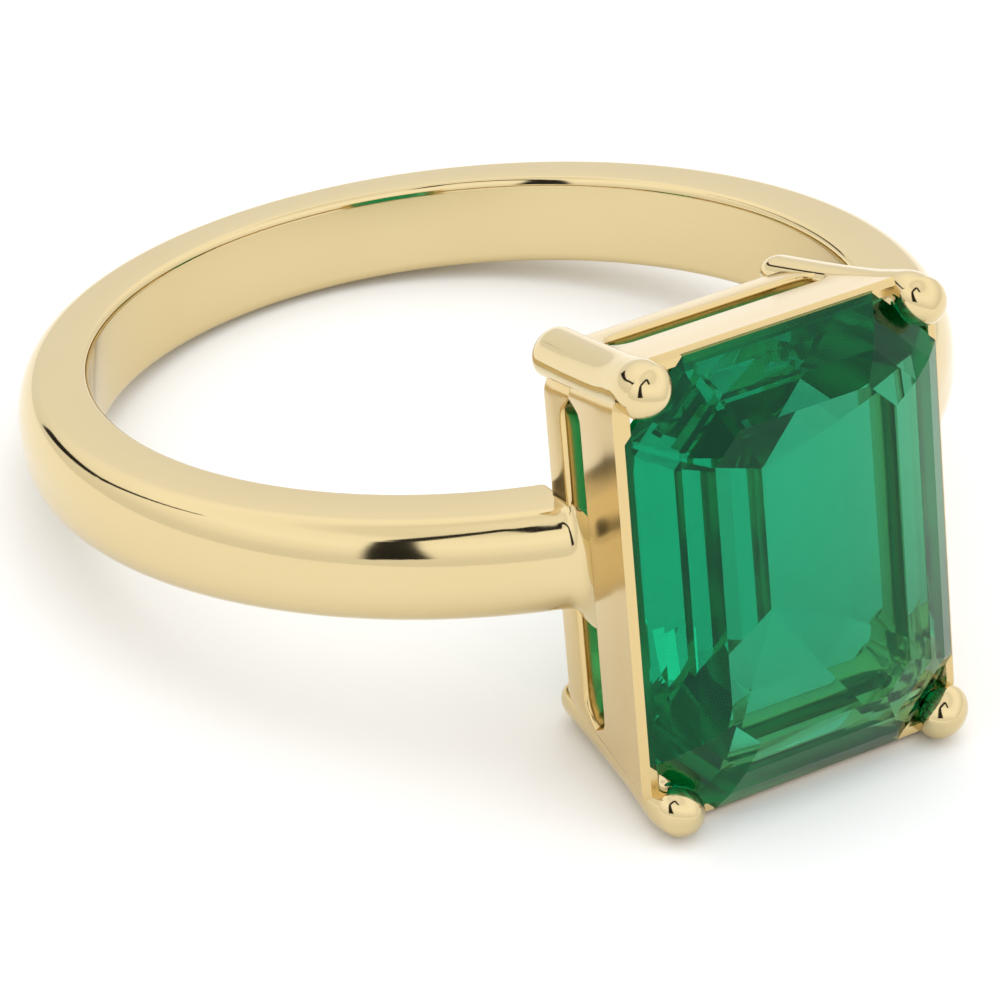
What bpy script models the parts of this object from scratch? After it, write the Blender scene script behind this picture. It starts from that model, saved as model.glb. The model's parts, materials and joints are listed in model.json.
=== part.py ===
"""Solitaire ring: a polished gold shank, a two-rail basket with four claws, and one emerald-cut stone.

The ring frame has its origin at the centre of the finger hole: +X runs out through the stone,
+Y across the stone, and +Z along the finger. The ring lies on its two lower claws and on the
back of its shank, so one empty tips the whole ring frame over to that rest.
"""

import math

import bmesh
import bpy
from mathutils import Euler, Vector

MM = 0.001

# Shank. It tapers from the basket to the back of the finger.
FINGER_RADIUS = 8.5 * MM
SHANK_WIDTH_AT_BASKET = 2.27 * MM
SHANK_WIDTH_AT_BACK = 2.1 * MM
SHANK_RADIUS_AT_BASKET = 10.55 * MM
SHANK_RADIUS_AT_BACK = 9.96 * MM
SHOULDER_DEPTH = 0.52 * MM
SHOULDER_WIDTH = 0.9 * MM
SHARP_SHANK_EDGE = math.radians(35)
SHARP_CLAW_EDGE = math.radians(50)
INNER_EDGE_RADIUS = 0.12 * MM
SHANK_END_ANGLE = math.radians(12)
FLARE_START_ANGLE = math.radians(23)
FLARE_END_ANGLE = math.radians(19.5)
FLARE_RISE = 0.45 * MM
FLARE_SHARPNESS = 2.5

# Basket. Both rails lie on the four sloping walls of one pyramid, which widens towards the stone.
BASKET_BASE = 8.5 * MM
BASKET_TOP = 12.03 * MM
BASE_HALF_SIZE = (3.42 * MM, 4.36 * MM)
TOP_HALF_SIZE = (3.9 * MM, 5.17 * MM)
BASKET_CORNER_CUT = 0.75 * MM
RAIL_WALL = 0.72 * MM
LOWER_RAIL_TOP = 9.4 * MM
UPPER_RAIL_BASE = 10.2 * MM

# Stone: rows from the table down to the keel, each as the height above the girdle's lower
# edge, the half width, the half length, and the length cut off each corner.
GIRDLE = 11.95 * MM
STONE_ROWS = (
    (0.96 * MM, 2.2 * MM, 3.5 * MM, 0.64 * MM),
    (0.76 * MM, 2.86 * MM, 4.16 * MM, 1.0 * MM),
    (0.49 * MM, 3.38 * MM, 4.68 * MM, 1.28 * MM),
    (0.16 * MM, 3.8 * MM, 5.1 * MM, 1.5 * MM),
    (0.0 * MM, 3.8 * MM, 5.1 * MM, 1.5 * MM),
    (-0.8 * MM, 2.9 * MM, 4.2 * MM, 1.22 * MM),
    (-1.55 * MM, 1.7 * MM, 3.06 * MM, 0.8 * MM),
    (-2.2 * MM, 0.04 * MM, 1.62 * MM, 0.03 * MM),
)

# Claws: rows from the back end to the tip, each as the height, the distance from the stone's
# centre line along the corner's diagonal, the distance off that diagonal towards the long
# end, the half thickness, and the half width.
CLAW_ROWS = (
    (8.2 * MM, 4.84 * MM, 0.83 * MM, 0.43 * MM, 0.56 * MM),
    (9.6 * MM, 5.12 * MM, 0.86 * MM, 0.42 * MM, 0.57 * MM),
    (11.0 * MM, 5.42 * MM, 0.9 * MM, 0.43 * MM, 0.58 * MM),
    (11.7 * MM, 5.6 * MM, 0.94 * MM, 0.45 * MM, 0.59 * MM),
    (12.1 * MM, 5.68 * MM, 0.97 * MM, 0.48 * MM, 0.6 * MM),
    (12.4 * MM, 5.64 * MM, 0.97 * MM, 0.52 * MM, 0.6 * MM),
)
CLAW_SIDES = 16
DOME_STEPS = 4
DOME_TURN = math.radians(103.5)

GAP = 0.03 * MM
SWEEP_STEP = math.radians(4)
FLARE_SWEEP_STEP = math.radians(1)
EDGE_STEPS = 2
SHOULDER_STEPS = 6

GOLD = (0.86, 0.62, 0.27, 1.0)
EMERALD = (0.02, 0.42, 0.19, 1.0)


def clear_scene():
    for obj in list(bpy.data.objects):
        bpy.data.objects.remove(obj, do_unlink=True)


def new_collection(name):
    collection = bpy.data.collections.new(name)
    bpy.context.scene.collection.children.link(collection)
    return collection


def new_material(name, colour, metallic, roughness, transmission=0.0):
    material = bpy.data.materials.new(name)
    material.use_nodes = True
    shader = material.node_tree.nodes["Principled BSDF"]
    shader.inputs["Base Color"].default_value = colour
    shader.inputs["Metallic"].default_value = metallic
    shader.inputs["Roughness"].default_value = roughness
    shader.inputs["Transmission Weight"].default_value = transmission
    return material


def loft(name, rings, collection, material=None):
    """A closed body skinned over rings of points, with a flat cap on the first and the last."""
    shape = bmesh.new()
    loops = [[shape.verts.new(point) for point in ring] for ring in rings]
    for near, far in zip(loops, loops[1:]):
        for index in range(len(near)):
            after = (index + 1) % len(near)
            shape.faces.new((near[index], near[after], far[after], far[index]))
    shape.faces.new(reversed(loops[0]))
    shape.faces.new(loops[-1])
    bmesh.ops.recalc_face_normals(shape, faces=shape.faces)
    mesh = bpy.data.meshes.new(name)
    shape.to_mesh(mesh)
    shape.free()
    obj = bpy.data.objects.new(name, mesh)
    collection.objects.link(obj)
    if material:
        mesh.materials.append(material)
    return obj


def new_cutter(name, rings):
    obj = loft(name, rings, CUTTERS)
    obj.hide_render = True
    obj.display_type = "WIRE"
    return obj


def cut(obj, cutter):
    modifier = obj.modifiers.new("cut_" + cutter.name, "BOOLEAN")
    modifier.operation = "DIFFERENCE"
    modifier.object = cutter


def shade_round(obj, angle):
    obj.data.shade_smooth()
    obj.data.set_sharp_from_angle(angle=angle)


def blend(start, end, part):
    return start + (end - start) * part


def arc(centre, radii, start, end, steps):
    """Points on an elliptical arc, both ends included."""
    angles = [blend(start, end, step / steps) for step in range(steps + 1)]
    return [(centre[0] + radii[0] * math.cos(a), centre[1] + radii[1] * math.sin(a)) for a in angles]


# Shank


def shank_profile(width, outer_radius):
    """The section as (radius, height) points: a flat inside, flat sides and soft round shoulders."""
    half = width / 2
    edge = INNER_EDGE_RADIUS
    inner = arc((FINGER_RADIUS + edge, half - edge), (edge, edge), math.pi, math.pi / 2, EDGE_STEPS)
    shoulder_centre = (outer_radius - SHOULDER_DEPTH, half - SHOULDER_WIDTH)
    shoulder = arc(shoulder_centre, (SHOULDER_DEPTH, SHOULDER_WIDTH), math.pi / 2, 0, SHOULDER_STEPS)
    upper = inner + shoulder
    lower = [(radius, -height) for radius, height in reversed(upper)]
    return upper + lower


def shank_ring(angle):
    """The section at this angle round the finger from the stone's direction."""
    nearness = (1 + math.cos(angle)) / 2
    width = blend(SHANK_WIDTH_AT_BACK, SHANK_WIDTH_AT_BASKET, nearness)
    radius = blend(SHANK_RADIUS_AT_BACK, SHANK_RADIUS_AT_BASKET, nearness)
    from_stone = abs(math.remainder(angle, math.tau))
    flare = (FLARE_START_ANGLE - from_stone) / (FLARE_START_ANGLE - FLARE_END_ANGLE)
    radius += FLARE_RISE * min(max(flare, 0), 1) ** FLARE_SHARPNESS
    return [
        (r * math.cos(angle), r * math.sin(angle), height) for r, height in shank_profile(width, radius)
    ]


def shank_angles():
    """Closer steps where the shank flares into the basket."""
    near_end = []
    angle = SHANK_END_ANGLE
    while angle < FLARE_START_ANGLE:
        near_end.append(angle)
        angle += FLARE_SWEEP_STEP
    steps = round((math.tau - 2 * FLARE_START_ANGLE) / SWEEP_STEP)
    middle = [
        blend(FLARE_START_ANGLE, math.tau - FLARE_START_ANGLE, step / steps) for step in range(steps + 1)
    ]
    far_end = [math.tau - a for a in reversed(near_end)]
    return near_end + middle + far_end


# Basket and stone


def cut_corner_ring(height, half_width, half_length, corner_cut):
    """Eight points round a rectangle with its corners cut off, at one height."""
    quarter = [(half_width, half_length - corner_cut), (half_width - corner_cut, half_length)]
    points = []
    for side_y, side_z in ((1, 1), (-1, 1), (-1, -1), (1, -1)):
        turn = quarter if side_y == side_z else reversed(quarter)
        points += [(height, side_y * y, side_z * z) for y, z in turn]
    return points


def basket_half_size(height):
    part = (height - BASKET_BASE) / (BASKET_TOP - BASKET_BASE)
    return [blend(base, top, part) for base, top in zip(BASE_HALF_SIZE, TOP_HALF_SIZE)]


def basket_ring(height, inset):
    """The basket's outline at this height, moved in by inset on every side."""
    half_width, half_length = basket_half_size(height)
    corner = BASKET_CORNER_CUT - inset * (2 - math.sqrt(2))
    return cut_corner_ring(height, half_width - inset, half_length - inset, corner)


def make_rail(name, base, top):
    rail = loft(name, [basket_ring(base, 0), basket_ring(top, 0)], RING, GOLD_MATERIAL)
    opening = [basket_ring(base - RAIL_WALL, RAIL_WALL), basket_ring(top + RAIL_WALL, RAIL_WALL)]
    cut(rail, new_cutter(name + "_opening", opening))
    return rail


def stone_rings(grow):
    """The stone's rows, from the table down, each moved out by grow."""
    rings = []
    for index, (height, half_width, half_length, corner) in enumerate(STONE_ROWS):
        above = grow if height > 0 else 0
        below = grow if index == len(STONE_ROWS) - 1 else 0
        level = GIRDLE + height + above - below
        rings.append(cut_corner_ring(level, half_width + grow, half_length + grow, corner))
    return rings


# Claws


def claw_rows(grow):
    """The claw's rows with a dome at each end, moved out by grow."""
    rows = []
    for end, inward in ((CLAW_ROWS[0], CLAW_ROWS[1]), (CLAW_ROWS[-1], CLAW_ROWS[-2])):
        direction = Vector(end[:2]) - Vector(inward[:2])
        direction.normalize()
        dome = []
        for step in range(1, DOME_STEPS):
            angle = DOME_TURN * step / DOME_STEPS
            place = Vector(end[:2]) + direction * ((end[3] + grow) * math.sin(angle))
            shrink = math.cos(angle)
            dome.append((*place, end[2], (end[3] + grow) * shrink, (end[4] + grow) * shrink))
        rows.append(dome)
    body = [(*row[:3], row[3] + grow, row[4] + grow) for row in CLAW_ROWS]
    return rows[0][::-1] + body + rows[1]


def claw_rings(side_y, side_z, grow=0):
    rows = claw_rows(grow)
    outward = Vector((0, side_y, side_z)).normalized()
    along = Vector((0, -side_y, side_z)).normalized()
    rings = []
    for index, (height, distance, offset, half_thick, half_wide) in enumerate(rows):
        before = rows[max(index - 1, 0)]
        after = rows[min(index + 1, len(rows) - 1)]
        path = Vector((after[0] - before[0], after[1] - before[1])).normalized()
        across = outward * path[0] - Vector((path[1], 0, 0))
        centre = Vector((height, 0, 0)) + outward * distance + along * offset
        ring = []
        for side in range(CLAW_SIDES):
            angle = math.tau * side / CLAW_SIDES
            out = across * (half_thick * math.cos(angle))
            ring.append(centre + out + along * (half_wide * math.sin(angle)))
        rings.append(ring)
    return rings


# Rest

STEEPEST_TILT = math.radians(30)
TILT_HALVINGS = 50


def evaluated_points(objects):
    graph = bpy.context.evaluated_depsgraph_get()
    points = []
    for obj in objects:
        evaluated = obj.evaluated_get(graph)
        mesh = evaluated.to_mesh()
        points += [evaluated.matrix_world @ vertex.co for vertex in mesh.vertices]
        evaluated.to_mesh_clear()
    return points


def resting_tilt(points):
    """The angle at which the lowest claw and the back of the shank are level."""
    head = [point for point in points if point.x > 0]
    back = [point for point in points if point.x <= 0]
    low, high = 0.0, STEEPEST_TILT
    for _ in range(TILT_HALVINGS):
        tilt = (low + high) / 2
        up = Vector((math.sin(tilt), 0, math.cos(tilt)))
        if min(up.dot(point) for point in head) < min(up.dot(point) for point in back):
            low = tilt
        else:
            high = tilt
    return tilt


def lay_down(ring_frame, objects):
    """Tips the ring frame over to its rest, with the stone to the front, -Y, and centres it on the floor."""
    points = evaluated_points(objects)
    tilt = resting_tilt(points)
    turn = Euler((0, -tilt, -math.pi / 2))
    placed = [turn.to_matrix() @ point for point in points]
    lowest = [min(point[axis] for point in placed) for axis in range(3)]
    highest = [max(point[axis] for point in placed) for axis in range(3)]
    ring_frame.rotation_euler = turn
    ring_frame.location = (-(lowest[0] + highest[0]) / 2, -(lowest[1] + highest[1]) / 2, -lowest[2])


clear_scene()
RING = new_collection("solitaire_ring")
CUTTERS = new_collection("cutters")
GOLD_MATERIAL = new_material("polished_gold", GOLD, 1.0, 0.08)
STONE_MATERIAL = new_material("green_stone", EMERALD, 0.0, 0.02, 1.0)

shank = loft("shank", [shank_ring(angle) for angle in shank_angles()], RING, GOLD_MATERIAL)
envelope = []
for level in (0, BASKET_TOP + RAIL_WALL):
    half_width = basket_half_size(level)[0] + GAP
    envelope.append(cut_corner_ring(level, half_width, FINGER_RADIUS, BASKET_CORNER_CUT))
cut(shank, new_cutter("basket_envelope", envelope))
shade_round(shank, SHARP_SHANK_EDGE)

lower_rail = make_rail("lower_gallery_rail", BASKET_BASE, LOWER_RAIL_TOP)
upper_rail = make_rail("upper_gallery_rail", UPPER_RAIL_BASE, BASKET_TOP)
stone = loft("emerald_cut_stone", stone_rings(0), RING, STONE_MATERIAL)
stone_seat = new_cutter("stone_seat", stone_rings(GAP))
cut(upper_rail, stone_seat)

claws = []
for row, side_z in (("upper", 1), ("lower", -1)):
    for hand, side_y in (("left", -1), ("right", 1)):
        name = row + "_" + hand + "_claw"
        claw = loft(name, claw_rings(side_y, side_z), RING, GOLD_MATERIAL)
        shade_round(claw, SHARP_CLAW_EDGE)
        cut(claw, stone_seat)
        notch = new_cutter(name + "_notch", claw_rings(side_y, side_z, GAP))
        cut(lower_rail, notch)
        cut(upper_rail, notch)
        claws.append(claw)

pieces = [shank, lower_rail, upper_rail, stone, *claws]
ring_frame = bpy.data.objects.new("ring_frame", None)
RING.objects.link(ring_frame)
for obj in RING.objects[:] + CUTTERS.objects[:]:
    if obj is not ring_frame:
        obj.parent = ring_frame
bpy.context.view_layer.update()
lay_down(ring_frame, pieces)
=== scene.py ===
import json
import math

import bmesh
import bpy
from mathutils import Matrix, Vector


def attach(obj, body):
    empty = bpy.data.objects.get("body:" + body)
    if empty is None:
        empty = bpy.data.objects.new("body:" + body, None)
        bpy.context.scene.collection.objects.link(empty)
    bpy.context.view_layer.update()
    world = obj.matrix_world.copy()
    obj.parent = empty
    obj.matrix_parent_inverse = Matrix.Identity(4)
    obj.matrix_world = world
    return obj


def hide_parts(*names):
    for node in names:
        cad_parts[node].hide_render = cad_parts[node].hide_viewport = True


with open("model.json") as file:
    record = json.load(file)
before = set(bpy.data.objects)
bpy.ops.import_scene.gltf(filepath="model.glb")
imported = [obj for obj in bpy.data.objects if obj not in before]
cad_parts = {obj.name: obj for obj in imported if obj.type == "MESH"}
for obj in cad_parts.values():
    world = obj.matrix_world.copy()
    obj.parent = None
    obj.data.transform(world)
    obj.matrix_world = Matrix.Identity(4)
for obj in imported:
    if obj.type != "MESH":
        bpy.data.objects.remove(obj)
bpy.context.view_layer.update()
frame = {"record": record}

MM = 0.001

# ---------------------------------------------------------------------------------------------
# Camera. It looks down on the ring from the front left, close in through a long lens, and
# leans very slightly, so that the finger hole shows as a low oval behind the stone.

AIM = Vector((-0.42, 0.23, 0.52)) * MM
CAMERA_AZIMUTH = math.radians(-33.14)
CAMERA_HEIGHT_ANGLE = math.radians(34.67)
CAMERA_LEAN = math.radians(1.52)
CAMERA_DISTANCE = 120.9 * MM
LENS = 198.0
SENSOR = 36.0

camera_data = bpy.data.cameras.new("product_camera")
camera_data.lens = LENS
camera_data.sensor_width = SENSOR
camera_data.clip_start = 0.01
camera_data.clip_end = 20.0
camera = bpy.data.objects.new("product_camera", camera_data)
bpy.context.scene.collection.objects.link(camera)
camera.location = AIM + CAMERA_DISTANCE * Vector((
    math.sin(CAMERA_AZIMUTH) * math.cos(CAMERA_HEIGHT_ANGLE),
    -math.cos(CAMERA_AZIMUTH) * math.cos(CAMERA_HEIGHT_ANGLE),
    math.sin(CAMERA_HEIGHT_ANGLE),
))
aim_turn = (AIM - camera.location).to_track_quat("-Z", "Y")
camera.rotation_euler = (aim_turn.to_matrix() @ Matrix.Rotation(CAMERA_LEAN, 3, "Z")).to_euler()
bpy.context.scene.camera = camera

# ---------------------------------------------------------------------------------------------
# Shank. One half-round band of yellow gold, cast, filed and polished, slightly wider at the
# stone than at the back of the finger. It flares into the basket where it is soldered on.

# The bench frame: the finger hole's centre, +X out through the stone and +Z along the finger.
MOUNTS = {mount["name"]: mount for mount in frame["record"]["mounts"]}
OUT_OF_STONE = Vector(MOUNTS["stone_table"]["axis"]).normalized()
ALONG_FINGER = Vector(MOUNTS["finger_hole"]["axis"]).normalized()
ACROSS_STONE = ALONG_FINGER.cross(OUT_OF_STONE)
BENCH = Matrix((OUT_OF_STONE, ACROSS_STONE, ALONG_FINGER)).transposed().to_4x4()
BENCH.translation = Vector(MOUNTS["finger_hole"]["pos_m"])

FINGER_RADIUS = 8.5 * MM
BAND_WIDTH_AT_STONE = 2.27 * MM
BAND_WIDTH_AT_BACK = 2.1 * MM
BAND_DEPTH_AT_STONE = 2.05 * MM
BAND_DEPTH_AT_BACK = 1.46 * MM
SHOULDER_DEPTH = 0.52 * MM
SHOULDER_WIDTH = 0.9 * MM
INSIDE_EDGE = 0.14 * MM
SHOULDER_STEPS = 14
BAND_STEPS = 320
FLARE_ANGLE = math.radians(23)
FLARE_RISE = 1.0 * MM
FLARE_SPREAD = 0.24 * MM
FLARE_SHARPNESS = 5.0
FLARE_FADE = 0.3 * MM

# The shank ends against the basket's sloping side walls. The basket's heights and half sizes
# give a wall's slope and how far from the middle it would be at the finger hole's centre.
BASKET_BASE = 8.5 * MM
BASKET_TOP = 12.03 * MM
BASE_HALF_SIZE = (3.42 * MM, 4.36 * MM)
TOP_HALF_SIZE = (3.9 * MM, 5.17 * MM)
WALL_SLOPE = (TOP_HALF_SIZE[0] - BASE_HALF_SIZE[0]) / (BASKET_TOP - BASKET_BASE)
WALL_AT_CENTRE = BASE_HALF_SIZE[0] - BASKET_BASE * WALL_SLOPE
SOLDER_OVERLAP = 0.06 * MM

PALE_GOLD = (0.7, 0.575, 0.325, 1.0)
DEEP_GOLD = (0.675, 0.54, 0.29, 1.0)
BAND_HAZE = 0.045
BAND_MARK_STRETCH = 6.0
# Repeats per metre of the warmer patches and of the polishing wheel's marks.
PATCH_SCALE = 260.0
MARK_SCALE = 2600.0
MARK_DEPTH = 0.02 * MM
MARK_STRENGTH = 0.02
# How much the patches and the marks each add to a gold's haze.
HAZE_CHANGE = 0.03
SHARP_BAND_EDGE = math.radians(40)
DOUBLES_DISTANCE = 0.0005 * MM


class Value:
    """A node's output. Arithmetic on it adds the Math nodes."""

    def __init__(self, works, socket):
        self.works = works
        self.socket = socket

    def __add__(self, other):
        return self.works.maths("ADD", self, other)

    def __sub__(self, other):
        return self.works.maths("SUBTRACT", self, other)

    def __mul__(self, other):
        return self.works.maths("MULTIPLY", self, other)

    def __truediv__(self, other):
        return self.works.maths("DIVIDE", self, other)

    def __radd__(self, other):
        return self.works.maths("ADD", other, self)

    def __rsub__(self, other):
        return self.works.maths("SUBTRACT", other, self)

    def __rmul__(self, other):
        return self.works.maths("MULTIPLY", other, self)

    def __rtruediv__(self, other):
        return self.works.maths("DIVIDE", other, self)


class Works:
    """A node tree, built one node at a time."""

    def __init__(self, tree):
        self.tree = tree

    def node(self, kind, settings=None, values=None):
        """Adds a node: its settings first, then a number, a colour or a link for each socket."""
        made = self.tree.nodes.new(kind)
        for name, setting in (settings or {}).items():
            if name == "ramp":
                self.fill_ramp(made.color_ramp, setting)
            else:
                setattr(made, name, setting)
        for key, value in (values or {}).items():
            if isinstance(value, Value):
                self.tree.links.new(value.socket, made.inputs[key])
            else:
                made.inputs[key].default_value = value
        return made

    def fill_ramp(self, ramp, stops):
        while len(ramp.elements) < len(stops):
            ramp.elements.new(1.0)
        for element, (place, colour) in zip(ramp.elements, stops):
            element.position = place
            element.color = colour

    def add(self, kind, settings=None, values=None, output=0):
        return Value(self, self.node(kind, settings, values).outputs[output])

    def maths(self, operation, *numbers):
        return self.add("ShaderNodeMath", {"operation": operation}, dict(enumerate(numbers)))


def polished_gold(name, mark_stretch, haze, pale, deep):
    """Polished yellow gold: a little warmer in broad patches, with very faint wheel marks."""
    material = bpy.data.materials.new(name)
    material.use_nodes = True
    works = Works(material.node_tree)
    shader = material.node_tree.nodes["Principled BSDF"]
    place = works.add("ShaderNodeTexCoord", output="Object")
    patches = works.add(
        "ShaderNodeTexNoise", None, {"Vector": place, "Scale": PATCH_SCALE, "Detail": 3.0}, "Fac"
    )
    tone = works.add(
        "ShaderNodeMix",
        {"data_type": "RGBA"},
        {"Factor": patches, "A": pale, "B": deep},
        "Result",
    )
    stretched = works.add(
        "ShaderNodeMapping", None, {"Vector": place, "Scale": (1.0, 1.0, mark_stretch)}
    )
    wheel_marks = works.add(
        "ShaderNodeTexNoise",
        None,
        {"Vector": stretched, "Scale": MARK_SCALE, "Detail": 4.0},
        "Fac",
    )
    rough = haze + patches * HAZE_CHANGE + wheel_marks * HAZE_CHANGE
    relief = works.add(
        "ShaderNodeBump",
        None,
        {"Height": wheel_marks, "Strength": MARK_STRENGTH, "Distance": MARK_DEPTH},
        "Normal",
    )
    for socket, value in (("Base Color", tone), ("Roughness", rough), ("Normal", relief)):
        material.node_tree.links.new(value.socket, shader.inputs[socket])
    shader.inputs["Metallic"].default_value = 1.0
    return material


def new_tree(name, sizes):
    """A Geometry Nodes tree whose named inputs are the sizes given, and a material."""
    tree = bpy.data.node_groups.new(name, "GeometryNodeTree")
    tree.interface.new_socket("Geometry", in_out="INPUT", socket_type="NodeSocketGeometry")
    for size in sizes:
        tree.interface.new_socket(size, in_out="INPUT", socket_type="NodeSocketFloat")
    tree.interface.new_socket("Finish", in_out="INPUT", socket_type="NodeSocketMaterial")
    tree.interface.new_socket("Geometry", in_out="OUTPUT", socket_type="NodeSocketGeometry")
    return tree


def grown_mesh(name, tree, start_mesh, inputs):
    """Runs the tree once and keeps its result as a plain mesh, at its place in the world."""
    seed = bpy.data.objects.new(name + "_seed", start_mesh)
    bpy.context.scene.collection.objects.link(seed)
    modifier = seed.modifiers.new(name, "NODES")
    modifier.node_group = tree
    for item in tree.interface.items_tree:
        if item.in_out == "INPUT" and item.name in inputs:
            modifier[item.identifier] = inputs[item.name]
    graph = bpy.context.evaluated_depsgraph_get()
    mesh = bpy.data.meshes.new_from_object(seed.evaluated_get(graph), depsgraph=graph)
    bpy.data.objects.remove(seed, do_unlink=True)
    mesh.name = name
    return finished_piece(name, mesh)


def finished_piece(name, mesh):
    """The piece made of a mesh that is moved from the bench to its place."""
    mesh.transform(BENCH)
    piece = bpy.data.objects.new(name, mesh)
    bpy.context.scene.collection.objects.link(piece)
    return piece


def make_band_tree():
    """A half-round section swept round the finger, then tapered and flared by rule."""
    sizes = (
        "Finger Radius", "Width At Stone", "Width At Back", "Depth At Stone", "Depth At Back",
        "Shoulder Depth", "Shoulder Width", "Inside Edge", "Wall At Centre", "Wall Slope",
        "Flare Angle", "Flare Rise", "Flare Spread", "Flare Sharpness", "Flare Fade",
    )
    tree = new_tree("band_round_the_finger", sizes)
    works = Works(tree)
    given = tree.nodes.new("NodeGroupInput")
    size = {name: Value(works, given.outputs[name]) for name in sizes}

    squash = size["Shoulder Depth"] / size["Shoulder Width"]
    section = works.add(
        "GeometryNodeCurvePrimitiveQuadrilateral",
        {"mode": "RECTANGLE"},
        {"Width": size["Depth At Back"], "Height": size["Width At Back"] * squash},
    )
    corner = works.add("GeometryNodeInputPosition")
    outside = works.add("ShaderNodeSeparateXYZ", None, {"Vector": corner}, "X")
    is_outside = works.maths("GREATER_THAN", outside, 0.0)
    radius = size["Inside Edge"] + is_outside * (size["Shoulder Depth"] - size["Inside Edge"])
    section = works.add(
        "GeometryNodeFilletCurve",
        {"mode": "POLY"},
        {"Curve": section, "Count": SHOULDER_STEPS, "Radius": radius, "Limit Radius": True},
    )
    height_scale = works.add("ShaderNodeCombineXYZ", None, {"X": 1.0, "Y": 1.0 / squash, "Z": 1.0})
    section = works.add("GeometryNodeTransform", None, {"Geometry": section, "Scale": height_scale})
    middle = size["Finger Radius"] + size["Depth At Back"] / 2
    start = works.maths("ARCTAN2", size["Wall At Centre"], size["Finger Radius"])
    path = works.add(
        "GeometryNodeCurveArc",
        {"mode": "RADIUS"},
        {
            "Resolution": BAND_STEPS,
            "Radius": middle,
            "Start Angle": start,
            "Sweep Angle": math.tau - 2 * start,
        },
    )
    path = works.add("GeometryNodeSetCurveNormal", {"mode": "Z_UP"}, {"Curve": path})
    band = works.add(
        "GeometryNodeCurveToMesh",
        None,
        {"Curve": path, "Profile Curve": section, "Fill Caps": True},
    )

    # Each point's turn round the finger, its depth and its height set where it ends up.
    where = works.add("GeometryNodeInputPosition")
    parts = works.node("ShaderNodeSeparateXYZ", None, {"Vector": where})
    x, y, z = (Value(works, socket) for socket in parts.outputs)
    round_from_stone = works.maths("ARCTAN2", y, x)
    turn = works.maths("ABSOLUTE", round_from_stone)
    side = works.maths("SIGN", round_from_stone)
    reach = works.maths("SQRT", x * x + y * y)
    outward = (reach - size["Finger Radius"]) / size["Depth At Back"]
    nearness = (1.0 + works.maths("COSINE", turn)) / 2.0
    depth = size["Depth At Back"] + nearness * (size["Depth At Stone"] - size["Depth At Back"])
    width = 1.0 + nearness * (size["Width At Stone"] / size["Width At Back"] - 1.0)

    along = works.add(
        "ShaderNodeMapRange",
        {"clamp": True},
        {
            "Value": turn,
            "From Min": start,
            "From Max": size["Flare Angle"],
            "To Min": 0.0,
            "To Max": 1.0,
        },
    )
    flare = works.maths("POWER", 1.0 - along, size["Flare Sharpness"])
    new_reach = size["Finger Radius"] + outward * (depth + flare * size["Flare Rise"])
    full_reach = size["Finger Radius"] + outward * (depth + size["Flare Rise"])
    lean = works.maths("ARCTANGENT", size["Wall Slope"])
    wall_turn = lean + works.maths(
        "ARCSINE", size["Wall At Centre"] * works.maths("COSINE", lean) / full_reach
    )
    in_flare = works.maths("LESS_THAN", turn, size["Flare Angle"])
    flared_turn = wall_turn + along * (size["Flare Angle"] - wall_turn)
    new_turn = (turn + in_flare * (flared_turn - turn)) * side
    spread = works.maths("SIGN", z) * flare * outward * size["Flare Spread"]
    from_middle = works.maths("ABSOLUTE", z) / size["Flare Fade"]
    spread = spread * works.maths("MINIMUM", from_middle, 1.0)
    placed = works.add(
        "ShaderNodeCombineXYZ",
        None,
        {
            "X": new_reach * works.maths("COSINE", new_turn),
            "Y": new_reach * works.maths("SINE", new_turn),
            "Z": z * width + spread,
        },
    )
    band = works.add("GeometryNodeSetPosition", None, {"Geometry": band, "Position": placed})
    band = works.add("GeometryNodeSetShadeSmooth", None, {"Geometry": band})
    band = works.add("GeometryNodeRealizeInstances", None, {"Geometry": band})
    finish = Value(works, given.outputs["Finish"])
    band = works.add("GeometryNodeSetMaterial", None, {"Geometry": band, "Material": finish})
    works.node("NodeGroupOutput", None, {"Geometry": band})
    return tree


def tidy_surface(mesh, sharp_angle):
    """Merges doubles, turns the faces outwards and shades it smooth but for its true edges."""
    surface = bmesh.new()
    surface.from_mesh(mesh)
    bmesh.ops.remove_doubles(surface, verts=surface.verts, dist=DOUBLES_DISTANCE)
    bmesh.ops.recalc_face_normals(surface, faces=surface.faces)
    surface.to_mesh(mesh)
    surface.free()
    mesh.shade_smooth()
    mesh.set_sharp_from_angle(angle=sharp_angle)


BAND_GOLD = polished_gold(
    "polished_gold_band", BAND_MARK_STRETCH, BAND_HAZE, PALE_GOLD, DEEP_GOLD
)
band = grown_mesh(
    "half_round_band",
    make_band_tree(),
    bpy.data.meshes.new("band_seed"),
    {
        "Finger Radius": FINGER_RADIUS,
        "Width At Stone": BAND_WIDTH_AT_STONE,
        "Width At Back": BAND_WIDTH_AT_BACK,
        "Depth At Stone": BAND_DEPTH_AT_STONE,
        "Depth At Back": BAND_DEPTH_AT_BACK,
        "Shoulder Depth": SHOULDER_DEPTH,
        "Shoulder Width": SHOULDER_WIDTH,
        "Inside Edge": INSIDE_EDGE,
        "Wall At Centre": WALL_AT_CENTRE - SOLDER_OVERLAP,
        "Wall Slope": WALL_SLOPE,
        "Flare Angle": FLARE_ANGLE,
        "Flare Rise": FLARE_RISE,
        "Flare Spread": FLARE_SPREAD,
        "Flare Sharpness": FLARE_SHARPNESS,
        "Flare Fade": FLARE_FADE,
        "Finish": BAND_GOLD,
    },
)
tidy_surface(band.data, SHARP_BAND_EDGE)
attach(band, "root")
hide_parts("shank")

# ---------------------------------------------------------------------------------------------
# Basket rails. Two closed gold frames follow the stone's outline, one at the finger and one
# under the girdle. They are sawn from plate and filed, and the upper one has a burnished rim.

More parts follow.
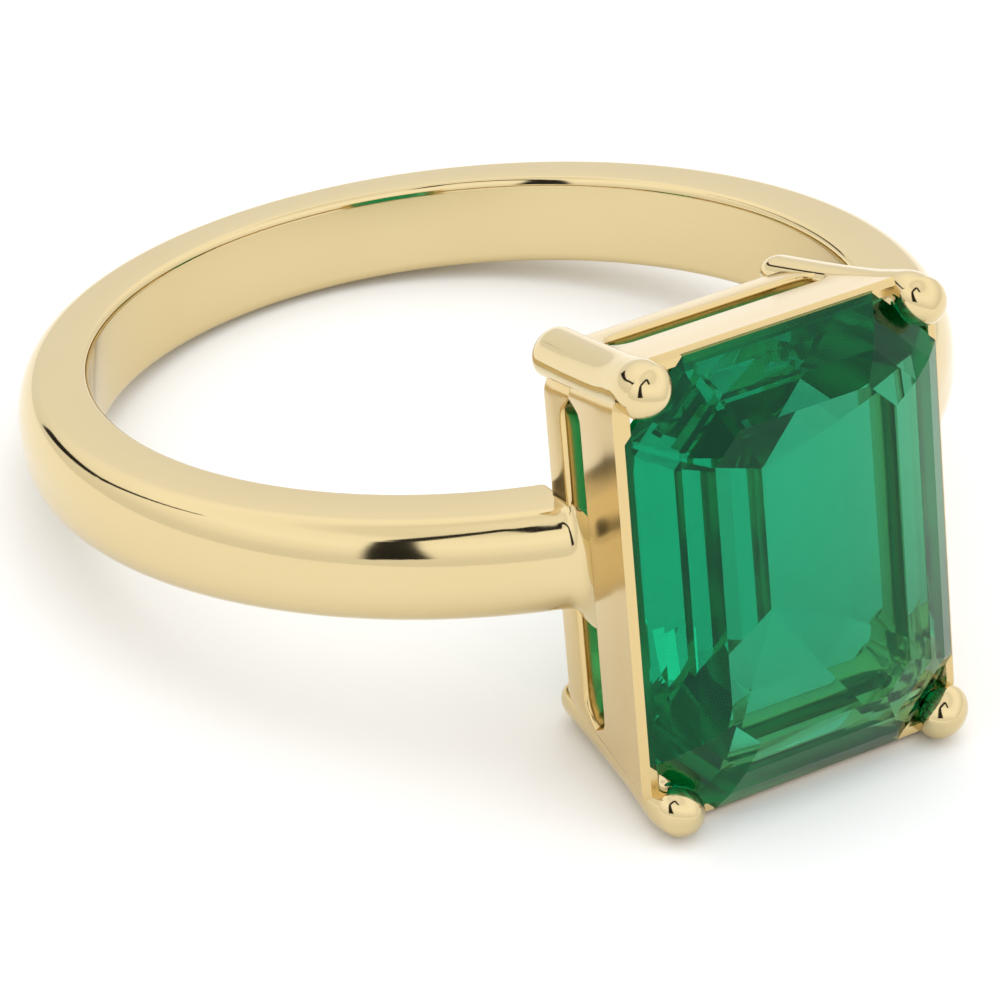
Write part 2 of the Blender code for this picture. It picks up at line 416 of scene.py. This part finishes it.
BASKET_CORNER_CUT = 0.75 * MM
OUTLINE_ROUNDING = 0.22 * MM
ROUNDING_STEPS = 5
RAIL_WALL = 0.72 * MM
RIM_WALL = 0.3 * MM
RIM_BEVEL = 0.17 * MM
RIM_RISE = 0.1 * MM
RIM_SWELL = 0.02 * MM
# The rim starts this share of the way up the upper rail's wall.
RIM_START = 0.68
LOWER_RAIL_TOP = 9.4 * MM
UPPER_RAIL_BASE = 10.2 * MM
RAIL_EDGE = 0.13 * MM
EDGE_STEPS = 4
SEAT_DEPTH = 0.75 * MM
# Each window between the rails has rounded ends, which start where the claws' edges are.
WINDOW_ROUNDING = 0.5 * MM
WINDOW_END = 0.95 * MM
SIDE_STEPS = 40
SHARP_RAIL_EDGE = math.radians(32)
# The wheel reaches the basket less well, so its gold is a little hazier. Its deeper, more
# orange tone is painted shade: the same gold as the band's, darkened for the basket.
BASKET_PALE_PAINTED_SHADE = (0.7, 0.545, 0.275, 1.0)
BASKET_DEEP_PAINTED_SHADE = (0.67, 0.5, 0.235, 1.0)
BASKET_HAZE = 0.15
BASKET_MARK_STRETCH = 3.0


def blend(start, end, part):
    return start + (end - start) * part


def cut_corner_outline(half_width, half_length, corner_cut):
    """Eight (y, z) points round a rectangle with its corners cut off."""
    quarter = [(half_width, half_length - corner_cut), (half_width - corner_cut, half_length)]
    points = []
    for side_y, side_z in ((1, 1), (-1, 1), (-1, -1), (1, -1)):
        turn = quarter if side_y == side_z else reversed(quarter)
        points += [Vector((side_y * y, side_z * z)) for y, z in turn]
    return points


def rounded_outline(corners, radius, steps):
    """The outline with each corner replaced by a soft curve, and points along its four sides."""
    rounded = []
    count = len(corners)
    for index, corner in enumerate(corners):
        before = (corners[index - 1] - corner).normalized() * radius
        following = corners[(index + 1) % count]
        after = (following - corner).normalized() * radius
        for step in range(steps + 1):
            part = step / steps
            rounded.append(corner + before * (1 - part) ** 2 + after * part ** 2)
        if index % 2:
            for step in range(1, SIDE_STEPS):
                rounded.append((corner + after).lerp(following - after, step / SIDE_STEPS))
    return rounded


def basket_loop(height, inset):
    """The basket's outline at a height, moved in by inset, as (x, y, z) points."""
    part = (height - BASKET_BASE) / (BASKET_TOP - BASKET_BASE)
    half_width = blend(BASE_HALF_SIZE[0], TOP_HALF_SIZE[0], part) - inset
    half_length = blend(BASE_HALF_SIZE[1], TOP_HALF_SIZE[1], part) - inset
    corner = BASKET_CORNER_CUT - inset * (2 - math.sqrt(2))
    outline = rounded_outline(
        cut_corner_outline(half_width, half_length, corner), OUTLINE_ROUNDING, ROUNDING_STEPS
    )
    return [Vector((height, point.x, point.y)) for point in outline]


def window_rise(point):
    """How far a window's edge has closed in at a point of the basket's outline, from 0 to 1."""
    part = (point.x - BASKET_BASE) / (BASKET_TOP - BASKET_BASE)
    width_left = blend(BASE_HALF_SIZE[0], TOP_HALF_SIZE[0], part) - abs(point.y)
    length_left = blend(BASE_HALF_SIZE[1], TOP_HALF_SIZE[1], part) - abs(point.z)
    into_end = 1 - (max(width_left, length_left) - WINDOW_END) / WINDOW_ROUNDING
    into_end = min(max(into_end, 0.0), 1.0)
    return 1 - math.sqrt(1 - into_end ** 2)


def windowed_loop(height, inset, closing):
    """A loop of the basket whose corners are moved by closing, along the walls' slope."""
    plain = basket_loop(height, inset)
    if not closing:
        return plain
    closed = basket_loop(height + closing, inset)
    return [start.lerp(end, window_rise(start)) for start, end in zip(plain, closed)]


def edge_arc(height, inset, start):
    """A quarter turn of a filed edge, as (height, inset) points."""
    turns = [start + math.pi / 2 * step / EDGE_STEPS for step in range(EDGE_STEPS + 1)]
    return [
        (height + RAIL_EDGE * math.cos(turn), inset + RAIL_EDGE * math.sin(turn))
        for turn in turns
    ]


def frame_mesh(name, section, window_edge):
    """A closed frame: each (height, inset) point of the section becomes one loop round it.

    The points at the window's side of window_edge close in at the corners.
    """
    shape = bmesh.new()
    middle = (BASKET_BASE + BASKET_TOP) / 2
    towards_window = 1 if middle > window_edge else -1
    loops = []
    for height, inset in section:
        beside_window = (height - window_edge) * towards_window > 0
        closing = towards_window * WINDOW_ROUNDING if beside_window else 0
        loops.append([shape.verts.new(point) for point in windowed_loop(height, inset, closing)])
    for index, loop in enumerate(loops):
        following = loops[(index + 1) % len(loops)]
        for corner in range(len(loop)):
            after = (corner + 1) % len(loop)
            shape.faces.new((loop[corner], loop[after], following[after], following[corner]))
    mesh = bpy.data.meshes.new(name)
    shape.to_mesh(mesh)
    shape.free()
    return mesh


def frame_section(base, top, wall):
    """A bar's section with four softly filed edges."""
    low = base + RAIL_EDGE
    high = top - RAIL_EDGE
    inside = wall - RAIL_EDGE
    return (
        edge_arc(low, RAIL_EDGE, math.pi)
        + [((base + top) / 2, 0.0)]
        + edge_arc(high, RAIL_EDGE, -math.pi / 2)
        + edge_arc(high, inside, 0)
        + edge_arc(low, inside, math.pi / 2)
    )


def make_rail(name, section, window_edge, node):
    """One finished rail, standing for a node of the frame."""
    mesh = frame_mesh(name, section, window_edge)
    tidy_surface(mesh, SHARP_RAIL_EDGE)
    rail = finished_piece(name, mesh)
    mesh.materials.append(BASKET_GOLD_PAINTED_SHADE)
    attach(rail, "root")
    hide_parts(node)


# The basket's gold carries painted shade: a deeper, more orange tone than the band's gold.
BASKET_GOLD_PAINTED_SHADE = polished_gold(
    "polished_gold_basket_painted_shade", BASKET_MARK_STRETCH, BASKET_HAZE, BASKET_PALE_PAINTED_SHADE, BASKET_DEEP_PAINTED_SHADE
)
make_rail(
    "finger_side_rail",
    frame_section(BASKET_BASE, LOWER_RAIL_TOP, RAIL_WALL),
    LOWER_RAIL_TOP - 2 * RAIL_EDGE,
    "lower_gallery_rail",
)
rim_top = BASKET_TOP + RIM_RISE
edge_height = UPPER_RAIL_BASE + RAIL_EDGE
rim_section = (
    edge_arc(edge_height, RAIL_EDGE, math.pi)
    + [
        (blend(UPPER_RAIL_BASE, BASKET_TOP, RIM_START), 0.0),
        (rim_top - RIM_BEVEL, -RIM_SWELL),
        (rim_top - RIM_SWELL, RIM_BEVEL * 0.6),
        (rim_top, RIM_BEVEL * 0.75),
        (rim_top, RIM_WALL),
        (BASKET_TOP - SEAT_DEPTH, RAIL_WALL),
    ]
    + edge_arc(edge_height, RAIL_WALL - RAIL_EDGE, math.pi / 2)
)
make_rail(
    "stone_side_rail", rim_section, UPPER_RAIL_BASE + 2 * RAIL_EDGE, "upper_gallery_rail"
)

# ---------------------------------------------------------------------------------------------
# Claws. Four oval gold wires are soldered to the basket's corners. Each one is bent in over
# the stone's cut corner, and its tip is rounded with a cup burr and burnished bright.

# Rows from the back end to the tip, in millimetres: the height above the finger hole's centre,
# the distance out along the corner's diagonal, the offset towards the stone's end, the half
# thickness and the half width.
CLAW_ROWS = (
    (8.2, 4.84, 0.83, 0.43, 0.56),
    (9.6, 5.12, 0.86, 0.42, 0.57),
    (11.0, 5.42, 0.9, 0.43, 0.58),
    (11.7, 5.6, 0.94, 0.45, 0.59),
    (12.1, 5.68, 0.97, 0.48, 0.6),
    (12.4, 5.64, 0.97, 0.52, 0.6),
)
CLAW_SIDES = 40
CLAW_STEPS_PER_ROW = 8
DOME_STEPS = 14
# The dome on each end: its height in millimetres, and its roundness, from 1 for a pointed end
# to 2 for a ball.
BACK_DOME = (0.56, 2.0)
TIP_DOME = (0.52, 1.6)
DOME_TURN = math.pi / 2 * 0.999
SHARP_CLAW_EDGE = math.radians(60)
CLAW_HAZE = 0.04
CLAW_MARK_STRETCH = 1.5


def smooth_row(rows, place):
    """The row at a place between 0 and the last row, on a smooth curve through all of them."""
    index = min(int(place), len(rows) - 2)
    part = place - index
    first = rows[max(index - 1, 0)]
    start = rows[index]
    end = rows[index + 1]
    last = rows[min(index + 2, len(rows) - 1)]
    return [
        0.5 * (2 * b + (c - a) * part + (2 * a - 5 * b + 4 * c - d) * part ** 2
               + (3 * b - a - 3 * c + d) * part ** 3)
        for a, b, c, d in zip(first, start, end, last)
    ]


def claw_stations():
    """Smooth rows along the wire, with a dome on each end."""
    steps = (len(CLAW_ROWS) - 1) * CLAW_STEPS_PER_ROW
    body = [smooth_row(CLAW_ROWS, step / CLAW_STEPS_PER_ROW) for step in range(steps + 1)]
    domes = []
    ends = ((body[0], body[1], BACK_DOME), (body[-1], body[-2], TIP_DOME))
    for end, inward, (dome_height, roundness) in ends:
        direction = (Vector(end[:2]) - Vector(inward[:2])).normalized()
        dome = []
        for step in range(1, DOME_STEPS + 1):
            turn = DOME_TURN * step / DOME_STEPS
            rise = math.sin(turn) ** (2 / roundness)
            girth = math.cos(turn) ** (2 / roundness)
            centre = Vector(end[:2]) + direction * dome_height * rise
            dome.append([*centre, end[2], end[3] * girth, end[4] * girth])
        domes.append(dome)
    return domes[0][::-1] + body + domes[1]


def claw_mesh():
    """The claw at the corner where y and z are both positive."""
    outward = Vector((0, 1, 1)).normalized()
    along = Vector((0, -1, 1)).normalized()
    stations = claw_stations()
    shape = bmesh.new()
    loops = []
    for index, (height, distance, offset, half_thick, half_wide) in enumerate(stations):
        before = stations[max(index - 1, 0)]
        after = stations[min(index + 1, len(stations) - 1)]
        path = Vector((after[0] - before[0], after[1] - before[1])).normalized()
        across = outward * path[0] - Vector((path[1], 0, 0))
        centre = Vector((height, 0, 0)) + outward * distance + along * offset
        loop = []
        for side in range(CLAW_SIDES):
            turn = math.tau * side / CLAW_SIDES
            point = centre + across * (half_thick * math.cos(turn))
            point = point + along * (half_wide * math.sin(turn))
            loop.append(shape.verts.new(point * MM))
        loops.append(loop)
    for near, far in zip(loops, loops[1:]):
        for side in range(CLAW_SIDES):
            after = (side + 1) % CLAW_SIDES
            shape.faces.new((near[side], near[after], far[after], far[side]))
    shape.faces.new(reversed(loops[0]))
    shape.faces.new(loops[-1])
    mesh = bpy.data.meshes.new("claw")
    shape.to_mesh(mesh)
    shape.free()
    tidy_surface(mesh, SHARP_CLAW_EDGE)
    return mesh


def make_four_corners_tree():
    """One claw repeated at the other three corners, as its mirror images."""
    tree = new_tree("claw_at_each_corner", ())
    works = Works(tree)
    given = tree.nodes.new("NodeGroupInput")
    claws = Value(works, given.outputs["Geometry"])
    for flip in ((1.0, -1.0, 1.0), (1.0, 1.0, -1.0)):
        mirrored = works.add("GeometryNodeTransform", None, {"Geometry": claws, "Scale": flip})
        mirrored = works.add("GeometryNodeFlipFaces", None, {"Mesh": mirrored})
        both = tree.nodes.new("GeometryNodeJoinGeometry")
        for half in (claws, mirrored):
            tree.links.new(half.socket, both.inputs[0])
        claws = Value(works, both.outputs[0])
    claws = works.add("GeometryNodeRealizeInstances", None, {"Geometry": claws})
    finish = Value(works, given.outputs["Finish"])
    claws = works.add("GeometryNodeSetMaterial", None, {"Geometry": claws, "Material": finish})
    works.node("NodeGroupOutput", None, {"Geometry": claws})
    return tree


CLAW_GOLD = polished_gold(
    "polished_gold_claws", CLAW_MARK_STRETCH, CLAW_HAZE, PALE_GOLD, DEEP_GOLD
)
claws = grown_mesh("four_claws", make_four_corners_tree(), claw_mesh(), {"Finish": CLAW_GOLD})
tidy_surface(claws.data, SHARP_CLAW_EDGE)
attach(claws, "root")
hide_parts("upper_left_claw", "upper_right_claw", "lower_left_claw", "lower_right_claw")

# ---------------------------------------------------------------------------------------------
# Stone. An emerald-cut green stone, cut in flat steps parallel to its edges above and below
# the girdle, with cut corners and a keel. It is clear, and its colour is in its depth.

# The girdle's lower edge is this far from the finger hole's centre, in millimetres. The rows go
# from the table down to the keel, also in millimetres: the height above that edge, the half
# width, the half length and the length cut off each corner.
GIRDLE = 11.95
STONE_ROWS = (
    (0.96, 2.2, 3.5, 0.64),
    (0.76, 2.86, 4.16, 1.0),
    (0.49, 3.38, 4.68, 1.28),
    (0.16, 3.8, 5.1, 1.5),
    (0.0, 3.8, 5.1, 1.5),
    (-0.8, 2.9, 4.2, 1.22),
    (-1.55, 1.7, 3.06, 0.8),
    (-2.2, 0.04, 1.62, 0.03),
)
STONE_IOR = 1.58
STONE_DEPTH_COLOUR = (0.0, 0.955, 0.928, 1.0)
STONE_DENSITY = 1000.0
STONE_GLINT = (0.2, 0.85, 0.5, 1.0)
STONE_PALE = (0.34, 0.4, 0.21, 1.0)
STONE_DEEP = (0.3, 0.355, 0.185, 1.0)
POLISH_SCALE = 900.0
STONE_HAZE = 0.008


def stone_mesh():
    """Flat facets between the rows, with the table on top and the keel below."""
    shape = bmesh.new()
    loops = []
    for height, half_width, half_length, corner in STONE_ROWS:
        outline = cut_corner_outline(half_width, half_length, corner)
        loops.append([shape.verts.new(Vector((GIRDLE + height, p.x, p.y)) * MM) for p in outline])
    for upper, lower in zip(loops, loops[1:]):
        for corner in range(len(upper)):
            after = (corner + 1) % len(upper)
            shape.faces.new((upper[corner], upper[after], lower[after], lower[corner]))
    shape.faces.new(loops[0])
    shape.faces.new(reversed(loops[-1]))
    bmesh.ops.recalc_face_normals(shape, faces=shape.faces)
    mesh = bpy.data.meshes.new("emerald_cut_gem")
    shape.to_mesh(mesh)
    shape.free()
    return mesh


def green_stone():
    """Clear green crystal: the colour is absorbed in its depth, the polish varies a very little."""
    material = bpy.data.materials.new("green_crystal")
    material.use_nodes = True
    works = Works(material.node_tree)
    shader = material.node_tree.nodes["Principled BSDF"]
    place = works.add("ShaderNodeTexCoord", output="Object")
    polish = works.add(
        "ShaderNodeTexNoise", None, {"Vector": place, "Scale": POLISH_SCALE, "Detail": 3.0}, "Fac"
    )
    tint = works.add(
        "ShaderNodeMix",
        {"data_type": "RGBA"},
        {"Factor": polish, "A": STONE_PALE, "B": STONE_DEEP},
        "Result",
    )
    for socket, value in (("Base Color", tint), ("Roughness", polish * STONE_HAZE)):
        material.node_tree.links.new(value.socket, shader.inputs[socket])
    shader.inputs["Transmission Weight"].default_value = 1.0
    shader.inputs["IOR"].default_value = STONE_IOR
    shader.inputs["Specular Tint"].default_value = STONE_GLINT
    depth = works.add(
        "ShaderNodeVolumeAbsorption",
        None,
        {"Color": STONE_DEPTH_COLOUR, "Density": STONE_DENSITY},
    )
    output = material.node_tree.nodes["Material Output"]
    material.node_tree.links.new(depth.socket, output.inputs["Volume"])
    return material


stone = finished_piece("emerald_cut_gem", stone_mesh())
stone.data.materials.append(green_stone())
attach(stone, "root")
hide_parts("emerald_cut_stone")

# ---------------------------------------------------------------------------------------------
# Studio. A white sweep under one broad overhead softbox, with white walls all round and a few
# narrow dark flags that draw thin lines in the polished gold.

FLOOR_SIZE = 3.0
FLOOR_PALE = (0.93, 0.93, 0.925, 1.0)
FLOOR_DEEP = (0.9, 0.9, 0.895, 1.0)
FLOOR_GRAIN_SCALE = 40.0
FLOOR_ROUGHNESS = 0.9


def white_floor():
    """Matt white paper with a barely visible cloudiness."""
    material = bpy.data.materials.new("white_sweep")
    material.use_nodes = True
    works = Works(material.node_tree)
    shader = material.node_tree.nodes["Principled BSDF"]
    place = works.add("ShaderNodeTexCoord", output="Object")
    grain = works.add(
        "ShaderNodeTexNoise",
        None,
        {"Vector": place, "Scale": FLOOR_GRAIN_SCALE, "Detail": 2.0},
        "Fac",
    )
    tone = works.add(
        "ShaderNodeMix",
        {"data_type": "RGBA"},
        {"Factor": grain, "A": FLOOR_PALE, "B": FLOOR_DEEP},
        "Result",
    )
    material.node_tree.links.new(tone.socket, shader.inputs["Base Color"])
    shader.inputs["Roughness"].default_value = FLOOR_ROUGHNESS
    return material


floor_mesh = bpy.data.meshes.new("studio_floor")
floor_shape = bmesh.new()
bmesh.ops.create_grid(floor_shape, x_segments=8, y_segments=8, size=FLOOR_SIZE / 2)
floor_shape.to_mesh(floor_mesh)
floor_shape.free()
floor = bpy.data.objects.new("studio_floor", floor_mesh)
bpy.context.scene.collection.objects.link(floor)
floor_mesh.materials.append(white_floor())

world = bpy.data.worlds.new("white_studio")
world.use_nodes = True
bpy.context.scene.world = world

# How bright the studio's walls and ceiling are, from the floor's level up to overhead.
WALL_SHADES = (
    (0.0, 1.0),
    (0.2, 1.05),
    (0.36, 1.2),
    (0.6, 1.35),
    (0.82, 1.3),
    (0.9, 1.1),
    (0.94, 1.1),
    (1.0, 1.2),
)
# Dark flags: the azimuth and height of each end, and the half width at each end, in degrees.
FLAGS = (
    ((-55, 12), (-70, 50), 10.0, 5.0),
    ((-70, 50), (-42, 77), 4.5, 4.0),
    ((-42, 77), (-20, 60), 4.5, 4.0),
    ((-174, 8), (-150, 17), 5.5, 3.2),
    ((-150, 17), (-129, 37), 3.2, 1.0),
)
# The outer share of a flag's half width that fades.
SOFT_SHARE = 0.35
FLAG_DARKNESS = 0.98
HOOD_HALF_WIDTH = math.radians(15)
HOOD_SOFT_SHARE = SOFT_SHARE / 3
# Two low cards, seen only through the stone, give it contrast: a dark one at the back right and
# a bright one at the front right.
STONE_DARK_CARD = ((88, 8), (202, 8), 13, 13)
STONE_BRIGHT_CARD = ((14, 6), (62, 6), 8, 8)
BRIGHT_CARD_GAIN = 0.9
FILL_SIZE = 0.5
FILL_HEIGHT = 0.5
FILL_ENERGY = 0.7


def towards(azimuth, height):
    """The direction at an angle round from the front and an angle above the floor, in degrees."""
    turn = math.radians(azimuth)
    rise = math.radians(height)
    return Vector((math.sin(turn) * math.cos(rise), -math.cos(turn) * math.cos(rise), math.sin(rise)))


def flag_shade(works, looking, flag):
    """1 inside a narrow card that stretches from one direction to another, and 0 outside it."""
    start = towards(*flag[0])
    end = towards(*flag[1])
    across = start.cross(end).normalized()
    ahead = across.cross(start)

    def share(direction):
        settings = {"operation": "DOT_PRODUCT"}
        return works.add("ShaderNodeVectorMath", settings, {0: looking, 1: direction}, "Value")

    along = works.maths("ARCTAN2", share(ahead), share(start)) / start.angle(end)
    off = works.maths("ABSOLUTE", works.maths("ARCSINE", share(across)))
    half_width = math.radians(flag[2]) + along * math.radians(flag[3] - flag[2])
    edge = works.add(
        "ShaderNodeMapRange",
        {"interpolation_type": "SMOOTHSTEP"},
        {
            "Value": off / half_width,
            "From Min": 1 - SOFT_SHARE,
            "From Max": 1.0,
            "To Min": 1.0,
            "To Max": 0.0,
        },
    )
    inside = works.maths("GREATER_THAN", along, 0.0) * works.maths("LESS_THAN", along, 1.0)
    return edge * inside


sky_works = Works(world.node_tree)
looking = sky_works.add("ShaderNodeTexCoord", output="Generated")
height = sky_works.add("ShaderNodeSeparateXYZ", None, {"Vector": looking}, "Z")
walls = sky_works.add(
    "ShaderNodeValToRGB",
    {"ramp": [(place, (shade, shade, shade, 1.0)) for place, shade in WALL_SHADES]},
    {"Fac": height},
    "Color",
)
dark = flag_shade(sky_works, looking, FLAGS[0])
for flag in FLAGS[1:]:
    dark = sky_works.maths("MAXIMUM", dark, flag_shade(sky_works, looking, flag))
# The hood round the camera is dark only for what is seen through the stone.
paths = sky_works.node("ShaderNodeLightPath")
seen = Value(sky_works, paths.outputs["Is Camera Ray"])
from_stone = Value(sky_works, paths.outputs["Is Transmission Ray"])
hood_turn = sky_works.maths(
    "ARCCOSINE",
    sky_works.add(
        "ShaderNodeVectorMath",
        {"operation": "DOT_PRODUCT"},
        {0: looking, 1: towards(math.degrees(CAMERA_AZIMUTH), math.degrees(CAMERA_HEIGHT_ANGLE))},
        "Value",
    ),
)
hood = sky_works.add(
    "ShaderNodeMapRange",
    None,
    {
        "Value": hood_turn / HOOD_HALF_WIDTH,
        "From Min": 1.0,
        "From Max": 1.0 + HOOD_SOFT_SHARE,
        "To Min": 1.0,
        "To Max": 0.0,
    },
)
hood = sky_works.maths("MAXIMUM", hood, flag_shade(sky_works, looking, STONE_DARK_CARD))
dark = sky_works.maths("MAXIMUM", dark, hood * from_stone)
gain = flag_shade(sky_works, looking, STONE_BRIGHT_CARD) * from_stone * BRIGHT_CARD_GAIN
brightness = walls * (1.0 + gain) * (1.0 - dark * FLAG_DARKNESS)
brightness = brightness + seen * (1.0 - brightness)
sky = world.node_tree.nodes["Background"]
world.node_tree.links.new(brightness.socket, sky.inputs["Strength"])
sky.inputs["Color"].default_value = (1.0, 1.0, 1.0, 1.0)

fill_data = bpy.data.lights.new("overhead_fill", "AREA")
fill_data.shape = "RECTANGLE"
fill_data.size = FILL_SIZE
fill_data.size_y = FILL_SIZE
fill_data.energy = FILL_ENERGY
fill = bpy.data.objects.new("overhead_fill", fill_data)
bpy.context.scene.collection.objects.link(fill)
fill.location = (0.0, 0.0, FILL_HEIGHT)
fill.visible_glossy = False
fill.visible_transmission = False

# Light is followed through enough turns for the stone's many inner reflections.
light_paths = bpy.context.scene.cycles
light_paths.max_bounces = 32
light_paths.glossy_bounces = 20
light_paths.transmission_bounces = 24

bpy.context.scene.view_settings.view_transform = "Standard"
